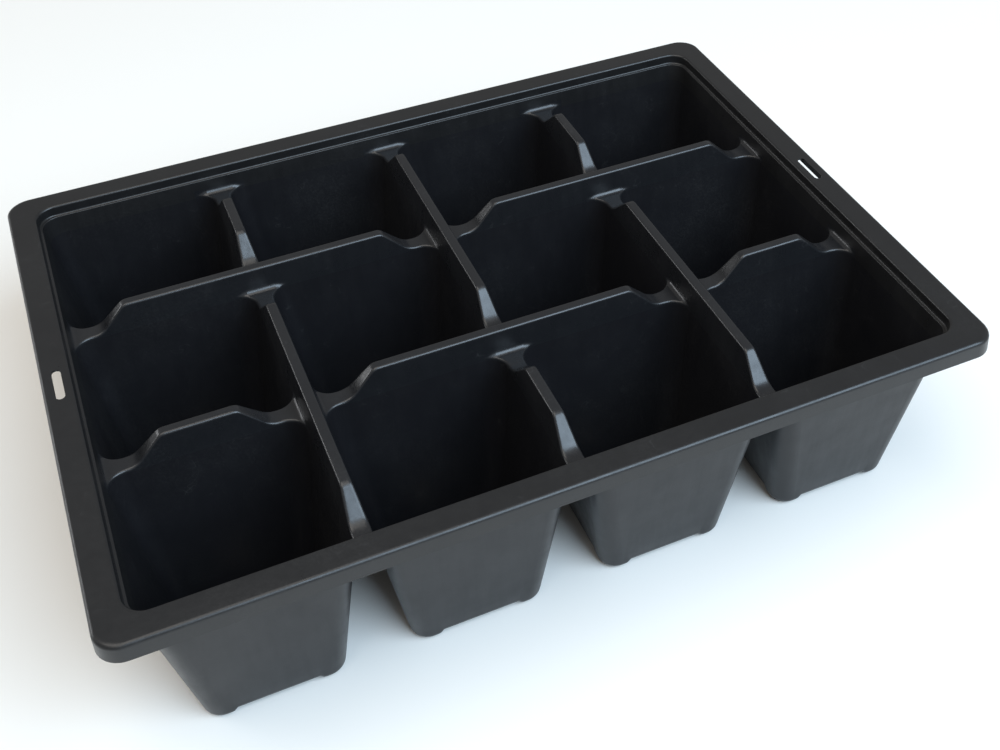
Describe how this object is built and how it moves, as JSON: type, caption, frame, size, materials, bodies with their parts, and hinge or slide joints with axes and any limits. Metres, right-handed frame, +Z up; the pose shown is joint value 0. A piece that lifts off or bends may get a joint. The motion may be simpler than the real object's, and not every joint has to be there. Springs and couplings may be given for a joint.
{
  "type": "plug tray",
  "caption": "Black thermoformed plug tray with deep tapered square cells, a flat rim with a hanging skirt and slots, and notched dividers that run on past every second crossing.",
  "frame": {"origin": "centre of the tray's footprint, on the surface that the cell feet stand on", "axes": "+X along the long side, from column 1 to column 4; +Y from the front row, where the middle cross divider is one cell long, to the back row; +Z up"},
  "size_m": [0.4, 0.3, 0.103],
  "materials": {
    "black_sheet": "satin, smooth thermoformed sheet"
  },
  "bodies": {
    "root": {"rim_flange": "black_sheet", "rim_skirt": "black_sheet", "rim_shoulder": "black_sheet", "web": "black_sheet", "ridge_row_front_1": "black_sheet", "ridge_row_front_2": "black_sheet", "ridge_row_front_3": "black_sheet", "ridge_row_back_1": "black_sheet", "ridge_row_back_2": "black_sheet", "ridge_cross_1_front": "black_sheet", "ridge_cross_1_back": "black_sheet", "ridge_cross_2_front": "black_sheet", "ridge_cross_2_back": "black_sheet", "ridge_cross_3_front": "black_sheet", "ridge_cross_3_back": "black_sheet", "cell_front_1": "black_sheet", "cell_front_2": "black_sheet", "cell_front_3": "black_sheet", "cell_front_4": "black_sheet", "cell_middle_1": "black_sheet", "cell_middle_2": "black_sheet", "cell_middle_3": "black_sheet", "cell_middle_4": "black_sheet", "cell_back_1": "black_sheet", "cell_back_2": "black_sheet", "cell_back_3": "black_sheet", "cell_back_4": "black_sheet"}
  },
  "joints": []
}
